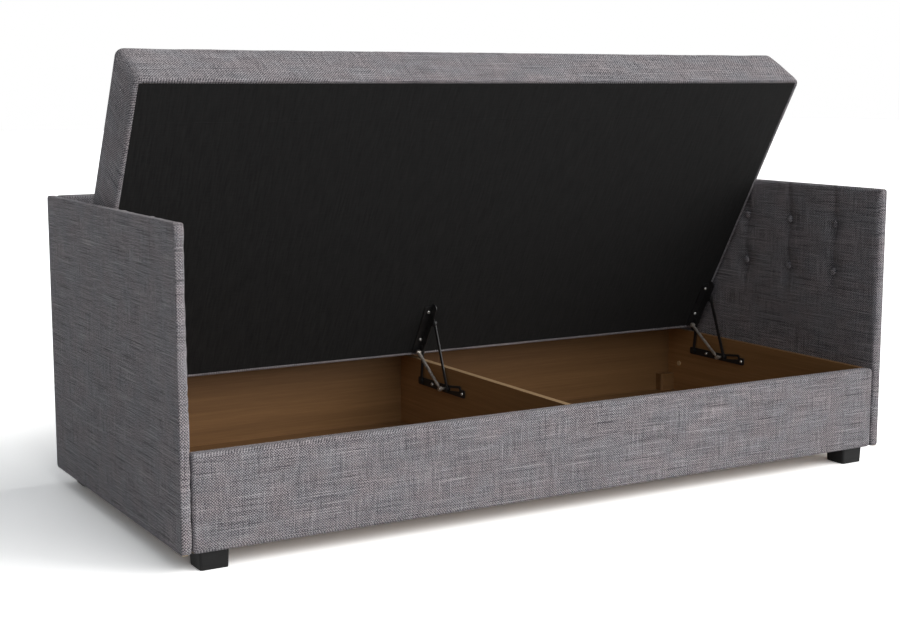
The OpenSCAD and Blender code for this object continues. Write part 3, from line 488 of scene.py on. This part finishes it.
# Surfaces
def add_mesh(name, points, faces, finish):
    """Smooth mesh from points and faces, as a new object in the scene."""
    mesh = bpy.data.meshes.new(name)
    mesh.from_pydata(points, [], faces)
    mesh.polygons.foreach_set("use_smooth", np.ones(len(mesh.polygons), bool))
    mesh.materials.append(finish)
    return add_object(name, mesh)


def set_uv(mesh, uv):
    mesh.uv_layers.new(name="UVMap").data.foreach_set("uv", uv.reshape(-1).astype(np.float32))


def eased(value, start, width):
    """0 up to start, 1 from start + width, and a straight line between them."""
    return ((value - start) / width).clip(0, 1)


def to_edge(points, l, h):
    """Each point's distance to the nearest edge of the l by h rectangle."""
    return np.minimum.reduce([points[:, 0], l - points[:, 0], points[:, 1], h - points[:, 1]])


def round_corners(u, v, l, h, r):
    """Rounds a rectangle's corners by r. Within r of two edges the square point (x, y), 0 to 1,
    goes to (x sqrt(1 - y^2 / 2), y sqrt(1 - x^2 / 2)), which lies in the unit disc."""
    if r <= 0:
        return u, v
    cu, cv = np.clip(u, r, l - r), np.clip(v, r, h - r)
    x, y = (u - cu) / r, (v - cv) / r
    return cu + r * x * np.sqrt(1 - y * y / 2), cv + r * y * np.sqrt(1 - x * x / 2)


def grid_lines(l, step, rim):
    """Lines from 0 to l, close within `rim` of the ends and about `step` apart between them."""
    ends = rim * np.array(RIM_LINE_SHARES)
    middle = np.linspace(rim, l - rim, max(2, round((l - 2 * rim) / step)) + 1)
    return np.concatenate([ends, middle, l - ends[::-1]])


def wrapped_block(l, h, step, corner, rings, face, warp=None):
    """Closed padded block in its own frame: U along l, V along h, N up from its back face.

    The face is the grid (u, v), drawn in by the first ring's inset, at that ring's level plus
    face(u, v). Each ring (inset, level, follow) is the rounded rectangle of that inset, at its
    level plus `follow` times face(u, v). The back is the grid at the last ring's inset and level.
    Returns the points, the quads and each corner's UV, which is the distance along the cloth from
    the face's corner."""
    us, vs = grid_lines(l, step, corner * RIM_SHARE), grid_lines(h, step, corner * RIM_SHARE)
    nu, nv = len(us), len(vs)
    gu, gv = np.meshgrid(us, vs, indexing="ij")
    index = np.arange(nu * nv).reshape(nu, nv)

    # The rim's loop: U up, V up, U down, V down, so that the bands' quads face outwards
    loop = np.concatenate([index[:-1, 0], index[-1, :-1], index[:0:-1, -1], index[0, :0:-1]])
    m = len(loop)

    def layer(u, v, inset, level, follow):
        u, v = u * (l - 2 * inset) / l, v * (h - 2 * inset) / h
        u, v = round_corners(u, v, l - 2 * inset, h - 2 * inset, max(corner - inset, 0))
        u, v = u + inset, v + inset
        return np.stack([u, v, level + follow * face(u, v)], -1)

    fu, fv = gu.ravel(), gv.ravel()
    inner = np.ones(nu * nv, bool)
    inner[loop] = False
    last_inset, last_level, _ = rings[-1]
    points = np.concatenate([layer(fu, fv, *rings[0]),
                             *[layer(fu[loop], fv[loop], *ring) for ring in rings[1:]],
                             layer(fu, fv, last_inset, last_level, 0)[inner]])
    if warp is not None:
        points = warp(points)

    # Quads: the face, the bands between rings, the back
    def cells(table):
        corners = [table[:-1, :-1], table[1:, :-1], table[1:, 1:], table[:-1, 1:]]
        return np.stack(corners, -1).reshape(-1, 4)

    ring_index = [loop] + [nu * nv + k * m + np.arange(m) for k in range(len(rings) - 1)]
    bands = [np.stack([a, b, np.roll(b, -1), np.roll(a, -1)], -1)
             for a, b in zip(ring_index, ring_index[1:])]
    back_index = np.empty(nu * nv, int)
    back_index[loop] = ring_index[-1]
    back_index[inner] = nu * nv + (len(rings) - 1) * m + np.arange(inner.sum())
    quads = np.concatenate([cells(index), *bands, cells(back_index.reshape(nu, nv))[:, ::-1]])

    # UV: plain (u, v) on the face and the back, and outwards from the face's rim on the bands
    profile = np.array([(inset, level) for inset, level, _ in rings])
    away = np.concatenate([[0], np.cumsum(np.hypot(*np.diff(profile, axis=0).T))])
    side = np.repeat([0, 1, 2, 3], [nu - 1, nv - 1, nu - 1, nv - 1])
    ways = np.array([(0, -1), (1, 0), (0, 1), (-1, 0)])[side]
    flat = np.stack([fu, fv], -1)
    rim = flat[loop]
    after = np.roll(rim, -1, 0)
    band_uv = [np.stack([rim + ways * a, rim + ways * b, after + ways * b, after + ways * a], 1)
               for a, b in zip(away, away[1:])]
    back_uv = (flat * [-1, 1] + [0, BACK_UV])[cells(index)[:, ::-1]]
    return points, quads, np.concatenate([flat[cells(index)], *band_uv, back_uv])


def make_piece(name, points, quads, uv, finish, origin, u_axis, v_axis, n_axis):
    """Mesh from points (u, v, n) at origin + u U + v V + n N, with faces turned outwards."""
    axes = np.array([u_axis, v_axis, n_axis])
    if np.linalg.det(axes) < 0:
        quads, uv = quads[:, ::-1], uv[:, ::-1]
    piece = add_mesh(name, origin + points @ axes, quads, finish)
    set_uv(piece.data, uv)
    piece.data.update()
    return piece


def rounding(r, t, foot_r, bulge=0.0, steps=6, wall=4):
    """Rings round a block's rim: quarter turn of radius r at the face, the wall, which swells by
    `bulge` at its middle, and a quarter turn of radius foot_r at the back."""
    turn = np.linspace(0, math.pi / 2, steps)
    rings = [(r * (1 - math.sin(a)) + bulge, t - r * (1 - math.cos(a)), math.cos(a) ** 2)
             for a in turn]
    for s in np.linspace(0, 1, wall + 2)[1:-1]:
        rings.append((bulge * (1 - math.sin(math.pi * s)), t - r - (t - r - foot_r) * s, 0))
    rings += [(foot_r * (1 - math.cos(a)) + bulge, foot_r * (1 - math.sin(a)), 0) for a in turn]
    return rings


def tufts(buttons, room):
    """Face of a tufted pad. Round each button, with d the distance to it and (du, dv) the way to
    it, the face falls by TUFT_DEPTH exp(-(d / TUFT_R)^2) + DIMPLE_DEPTH exp(-(d / DIMPLE_R)^2)
    + PUCKER_DEPTH exp(-(du / PUCKER_R)^2 - (dv / PUCKER_L)^2). The fall is the largest of the
    buttons' and never more than the padding's room."""
    def face(u, v):
        fall = np.zeros_like(u)
        for bu, bv in buttons:
            d2 = (u - bu) ** 2 + (v - bv) ** 2
            bowl = TUFT_DEPTH * np.exp(-d2 / TUFT_R ** 2)
            dimple = DIMPLE_DEPTH * np.exp(-d2 / DIMPLE_R ** 2)
            fold = PUCKER_DEPTH * np.exp(-((u - bu) / PUCKER_R) ** 2 - ((v - bv) / PUCKER_L) ** 2)
            fall = np.maximum(fall, bowl + dimple + fold)
        return -np.minimum(fall, room)
    return face


def button_places(first, count):
    low = TUFT_LOW - FOOT_H
    return [(first + c * TUFT_PITCH, low + r * TUFT_RISE) for c in range(count) for r in (0, 1)]


def panel(name, l, t, board_t, buttons, finish, place, step):
    """Upholstered panel: a tufted face, rounded rims, and a flat outer face over its board."""
    face = tufts(buttons, t - board_t - LEAST_PAD)
    rings = rounding(PANEL_R, t, PANEL_FOOT_R)
    points, quads, uv = wrapped_block(l, PANEL_H, step, PANEL_CORNER_R, rings, face)
    piece = make_piece(name, points, quads, uv, finish, *place)
    away = away_from(points, buttons, BUTTON_HOLD_R)
    settle(piece, np.where(points[:, 2] > t - PANEL_FREE_DEPTH, away, 0), PANEL_CAP)

    # Painted shade where the cloth is drawn in: exp(-(d / SHADE_R)^2) round a button, or its fold
    dark = np.zeros(len(points))
    for bu, bv in buttons:
        du, dv = points[:, 0] - bu, points[:, 1] - bv
        ring = np.exp(-(du ** 2 + dv ** 2) / SHADE_R ** 2)
        fold = FOLD_SHADE * np.exp(-(du / FOLD_SHADE_R) ** 2 - (dv / PUCKER_L) ** 2)
        dark = np.maximum(dark, np.maximum(ring, fold))
    dark[points[:, 2] < t * SHADED_SHARE] = 0
    # The painted shade goes to the mesh as a point attribute, which the cloth's colour reads
    hollow = piece.data.attributes.new("hollow", "FLOAT", "POINT")
    hollow.data.foreach_set("value", dark.astype(np.float32))
    return piece


def away_from(points, buttons, radius):
    """0 within `radius` of a button and up to 1 at three times that, as a smooth step."""
    near = np.full(len(points), np.inf)
    for bu, bv in buttons:
        near = np.minimum(near, np.hypot(points[:, 0] - bu, points[:, 1] - bv))
    s = eased(near, radius, 2 * radius)
    return s * s * (3 - 2 * s)


def settle(piece, loose, cap, pressure=CLOTH_PRESSURE, spare=CLOTH_SPARE):
    """Cloth simulation of a padded piece, applied to its mesh. `loose` is 0 where a point is held
    and 1 where it is free. The cloth has `spare` more length than its place, as a share of it, and
    is pressed outwards. A point that would move by d moves by cap tanh(d / cap), where `cap` is one
    length or one for each point. Nothing is drawn at random."""
    mesh, scene = piece.data, bpy.context.scene
    count = len(mesh.vertices)
    start = np.empty(count * 3, np.float32)
    mesh.vertices.foreach_get("co", start)
    held = piece.vertex_groups.new(name="held")
    level = np.round((1 - loose) * HOLD_LEVELS).astype(int)
    for k in range(1, HOLD_LEVELS + 1):
        held.add(np.flatnonzero(level == k).tolist(), k / HOLD_LEVELS, "REPLACE")
    cloth = piece.modifiers.new("cloth", "CLOTH")
    values = cloth.settings
    values.quality, values.mass, values.air_damping = 3, 0.25, 4.0
    values.tension_stiffness, values.compression_stiffness, values.bending_stiffness = 18, 18, 0.6
    values.vertex_group_mass, values.shrink_min = "held", -spare
    values.use_pressure, values.uniform_pressure_force = True, pressure
    values.effector_weights.gravity = 0
    cloth.collision_settings.use_collision = False
    for frame_number in range(1, CLOTH_FRAMES + 1):
        scene.frame_set(frame_number)
    moved = np.empty(count * 3, np.float32)
    settled = piece.evaluated_get(bpy.context.evaluated_depsgraph_get())
    settled.data.vertices.foreach_get("co", moved)
    piece.modifiers.remove(cloth)
    piece.vertex_groups.remove(held)
    scene.frame_set(1)
    shift = (moved - start).reshape(-1, 3)
    size = np.linalg.norm(shift, axis=1)
    shift *= (cap * np.tanh(size / cap) / np.maximum(size, 1e-9))[:, None]
    mesh.vertices.foreach_set("co", (start.reshape(-1, 3) + shift).ravel())
    mesh.update()
    print(piece.name, "moved by up to", round(float(size.max()) * 1000, 2), "mm before its cap")


def button_domes(name, buttons, low, high, finish, place):
    """Covered buttons: each a dome n = low + (high - low) cos(a)^DOME_POWER at radius
    BUTTON_R sin(a), with its rim turned under, on a fan of DOME_SIDES sides."""
    turn = np.linspace(0, math.pi / 2, DOME_STEPS)[1:]
    radius = np.concatenate([BUTTON_R * np.sin(turn), BUTTON_R * np.array(HEM_R_SHARES)])
    rise = np.concatenate([np.cos(turn).clip(0) ** DOME_POWER, HEM_LEVEL_SHARES])
    level = rise * (high - low) + low
    k, n = DOME_SIDES, len(radius)
    a = np.arange(k) * 2 * math.pi / k
    ring = np.stack([np.outer(radius, np.cos(a)), np.outer(radius, np.sin(a)),
                     np.repeat(level[:, None], k, 1)], -1)
    one = np.concatenate([ring.reshape(-1, 3), [[0, 0, high], [0, 0, level[-1]]]])
    points = np.concatenate([one + [u, v, 0] for u, v in buttons])

    # Faces of one: the bands between its rings, then the fans round its tip and its foot
    i, j = np.meshgrid(np.arange(n - 1), np.arange(k), indexing="ij")
    j2 = (j + 1) % k
    quads = np.stack([i * k + j, (i + 1) * k + j, (i + 1) * k + j2, i * k + j2], -1).reshape(-1, 4)
    here, after = np.arange(k), (np.arange(k) + 1) % k
    tip = np.stack([np.full(k, n * k), here, after], -1)
    foot = np.stack([np.full(k, n * k + 1), (n - 1) * k + after, (n - 1) * k + here], -1)
    faces = []
    for start in range(0, len(points), len(one)):
        faces += (quads + start).tolist() + (tip + start).tolist() + (foot + start).tolist()

    origin, *axes = place
    if np.linalg.det(np.array(axes)) < 0:
        faces = [f[::-1] for f in faces]
    piece = add_mesh(name, origin + points @ np.array(axes), faces, finish)
    corner = np.zeros(len(piece.data.loops), np.int32)
    piece.data.loops.foreach_get("vertex_index", corner)
    set_uv(piece.data, points[corner][:, :2])
    return piece


make_camera()
make_world(level=0.075, colour=(0.90, 0.96, 1.0))
sun("front", (0.25, -0.83, 0.47), strength=1.50, spread=60, colour=(1, 0.99, 0.975))
sun("side", (0.85, -0.35, 0.40), strength=2.2, spread=60, colour=(1, 0.985, 0.965))
sun("left", (-0.50, -0.75, 0.43), strength=0.30, spread=60, colour=(0.88, 0.95, 1.0))
sun("rear", (-0.25, 0.85, 0.45), strength=0.45, spread=80)

panel_cloth = grey_cloth("panel_cloth", shift=1.3, contrast=1.4)
back_cloth = grey_cloth("back_cloth", shift=11.7)
front_cloth = grey_cloth("front_cloth", shift=23.1)
seat_cloth = grey_cloth("seat_cloth", shift=37.9)
button_cloth = grey_cloth("button_cloth", shift=51.3, tone=1.1)

# Side panels and their buttons
side_grid = button_places(TUFT_FIRST, SIDE_COLUMNS)
left_place = (np.array([-HALF_L, -HALF_D, FOOT_H]), Y, Z, X)
right_place = (np.array([HALF_L, -HALF_D, FOOT_H]), Y, Z, -X)
button_levels = (button_low.x + HALF_L, button_high.x + HALF_L)
for side, place in (("left", left_place), ("right", right_place)):
    cover = panel(side + "_panel_cover", 2 * HALF_D, SIDE_T, SIDE_BOARD_T, side_grid, panel_cloth,
                  place, SIDE_STEP)
    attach(cover, "base")
    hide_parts(side + "_side_cover")
    domes = button_domes(side + "_panel_buttons", side_grid, *button_levels, button_cloth, place)
    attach(domes, "base")
    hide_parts(side + "_side_buttons")

# Back panel and its buttons, in columns about its middle
back_low, back_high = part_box("back_cover")
back_l, back_t = back_high.x - back_low.x + 2 * PRESSED, back_high.y - back_low.y
back_first = back_l / 2 - (BACK_COLUMNS - 1) / 2 * TUFT_PITCH
back_grid = button_places(back_first, BACK_COLUMNS)
back_place = (np.array([back_low.x - PRESSED, HALF_D, FOOT_H]), X, Z, -Y)
back = panel("back_panel_cover", back_l, back_t, BACK_BOARD_T, back_grid, back_cloth, back_place,
             BACK_STEP)
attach(back, "base")
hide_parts("back_cover")
button_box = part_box("back_buttons")
button_levels = (HALF_D - button_box[1].y, HALF_D - button_box[0].y)
domes = button_domes("back_panel_buttons", back_grid, *button_levels, button_cloth, back_place)
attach(domes, "base")
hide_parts("back_buttons")

# Front board
front_low, front_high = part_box("front_cover")
front_l, front_h = front_high.x - front_low.x, front_high.z - front_low.z
front_t = front_high.y - front_low.y
front_place = (np.array([front_low.x, front_high.y, FOOT_H]), X, Z, -Y)


def front_face(u, v):
    """Slow swell of the padded face: FRONT_SWELL (1 - x^4)(1 - y^4), with faint waves."""
    x, y = 2 * u / front_l - 1, 2 * v / front_h - 1
    waves = FRONT_RIPPLE * np.sin(u * RIPPLE_U) * np.sin(v * RIPPLE_V)
    return -FRONT_SWELL + FRONT_SWELL * (1 - x ** 4) * (1 - y ** 4) + waves


front_rings = rounding(FRONT_R, front_t, FRONT_FOOT_R)
points, quads, uv = wrapped_block(front_l, front_h, FRONT_STEP, FRONT_R, front_rings, front_face)
front = make_piece("front_board_cover", points, quads, uv, front_cloth, *front_place)
free = eased(to_edge(points, front_l, front_h), FRONT_HELD, FRONT_EASE)
settle(front, np.where(points[:, 2] > front_t - FRONT_FREE_DEPTH, free, 0), FRONT_CAP,
       spare=FRONT_SPARE)
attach(front, "base")
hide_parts("front_cover")

# Mattress
seat_place = (SEAT_ORIGIN - SEAT_HALF * X, X, SEAT_A, SEAT_N)


def seat_face(u, v):
    """Crown of the mattress: SEAT_CROWN ((1 - x^2)(1 - y^2))^CROWN_POWER over its upper face."""
    x, y = u / SEAT_HALF - 1, 2 * v / SEAT_L - 1
    return SEAT_CROWN * (1 - x * x).clip(0) ** CROWN_POWER * (1 - y * y).clip(0) ** CROWN_POWER


def seat_draw(points):
    """Rounds the rear upper edge to SEAT_REAR_R, and draws the sides in between the corners by
    SEAT_DRAW (1 - s^4), s from -1 to 1 along a side. The rounding takes a point at (dv, dn) past
    the quarter circle's centre, and longer than R + rise (1 - dv / R), back to that length."""
    u, v, n = points.T
    r = SEAT_REAR_R
    dv, dn = (v - (SEAT_L - r)).clip(0), (n - (SEAT_T - r)).clip(0)
    rise = seat_face(u, v).clip(0)
    share = (r + rise * (1 - dv / r).clip(0, 1)) / np.maximum(np.hypot(dv, dn), 1e-9)
    share = np.where((dv > 0) & (dn > 0), share.clip(0, 1), 1)
    v, n = v - dv * (1 - share), n - dn * (1 - share)
    x, y = u / SEAT_HALF - 1, 2 * v / SEAT_L - 1
    return np.stack([u - x * SEAT_DRAW * (1 - y ** 4), v - y * SEAT_DRAW * (1 - x ** 4), n], -1)


seat_rings = rounding(SEAT_R, SEAT_T, SEAT_FOOT_R, SEAT_SWELL, steps=8, wall=7)
seat_rings += [(SEAT_BORDER + inset, level, 0) for inset, level in BORDER_LIP]
points, quads, uv = wrapped_block(2 * SEAT_HALF, SEAT_L, SEAT_STEP, SEAT_CORNER_R, seat_rings,
                                  seat_face, warp=seat_draw)
seat = make_piece("mattress_cloth", points, quads, uv, seat_cloth, *seat_place)
inner = eased(to_edge(points, 2 * SEAT_HALF, SEAT_L), CROWN_HELD, CROWN_EASE)
inner[points[:, 2] <= SEAT_T] = 0
settle(seat, eased(points[:, 2], SIDE_HELD, SIDE_EASE), EDGE_CAP + CROWN_CAP * inner,
       SEAT_PRESSURE, SEAT_SPARE)
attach(seat, "mattress")
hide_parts("mattress_cover", "mattress_core")

# Dust cloth under the mattress
cloth_w = 2 * (SEAT_HALF - SEAT_BORDER - DUST_GAP)
cloth_l = SEAT_L - 2 * (SEAT_BORDER + DUST_GAP)
dust_origin = SEAT_ORIGIN - cloth_w / 2 * X + (SEAT_BORDER + DUST_GAP) * SEAT_A


def dust_face(u, v):
    return np.zeros_like(u)


points, quads, uv = wrapped_block(cloth_w, cloth_l, DUST_STEP, DUST_CORNER_R, DUST_RINGS, dust_face)
dust = make_piece("dust_cloth", points, quads, uv, black_cloth("dust_black"), dust_origin,
                  X, SEAT_A, SEAT_N)
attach(dust, "mattress")
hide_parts("underside_cloth")

# Finishes of the solids that stay: by name, or else by the first of these words in their name
dark_steel = painted_steel("black_paint")
zinc = bright_steel("zinc_plate", (0.66, 0.65, 0.62), rough=0.20)
chrome = bright_steel("strut_plate", (0.55, 0.50, 0.45), rough=0.16)
brass = bright_steel("bolt_brass", (0.88, 0.72, 0.46), rough=0.34)
feet = foot_plastic("foot_black")
rail = raw_wood("rail_pine_x", ALONG_X)
rail_y = raw_wood("rail_pine_y", ALONG_Y)
board = raw_wood("panel_chip", ALONG_X, light=(0.55, 0.42, 0.27), dark=(0.40, 0.29, 0.17))
wall_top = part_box("partition")[1].z
# The boards share one laminate; their tones differ as painted light and shade, palest on the box's
# right wall and partition, whose faces lie in shade inside the box
finishes = {
    "box_back_wall": laminate("laminate_x", ALONG_X, tone=1.6),
    "box_left_wall": laminate("laminate_y", ALONG_Y, tone=2.1),
    "box_right_wall": laminate("laminate_y_right_painted_light", ALONG_Y, tone=3.05),
    "partition": laminate("laminate_partition_painted_light", ALONG_Y, tone=2.75, edge=wall_top - BANDING_T),
    "floor_left": laminate("laminate_floor", ALONG_X, tone=1.5),
    "floor_right": laminate("laminate_floor_right", ALONG_X, tone=1.5),
    "corner_blocks": laminate("block_wood", ALONG_X, tone=1.7),
    "deck_board": fibre_board("deck_fibre"),
}
by_word = {
    "foot_screws": zinc, "foot_": feet, "base_bar_screws": zinc, "strap_screws": zinc,
    "base_bar": dark_steel, "bar_spacers": dark_steel, "strap_": dark_steel,
    "rear_link": dark_steel, "front_arm": dark_steel, "strut_": chrome, "base_pins": dark_steel,
    "block_screws": zinc, "panel_bolts": brass, "dowels": zinc, "_board": board,
    "front_core": board, "cross_rails": rail_y, "end_rails": rail_y, "rail": rail,
}
for name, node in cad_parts.items():
    finish = finishes.get(name) or next((f for word, f in by_word.items() if word in name), None)
    if finish is not None:
        for place in node.material_slots:
            place.material = finish

# Floor
floor_corners = [(-FLOOR_HALF, -FLOOR_HALF, 0), (FLOOR_HALF, -FLOOR_HALF, 0),
                 (FLOOR_HALF, FLOOR_HALF, 0), (-FLOOR_HALF, FLOOR_HALF, 0)]
floor = add_mesh("floor", floor_corners, [(0, 1, 2, 3)], floor_finish())

bpy.context.scene.view_settings.view_transform = "Standard"
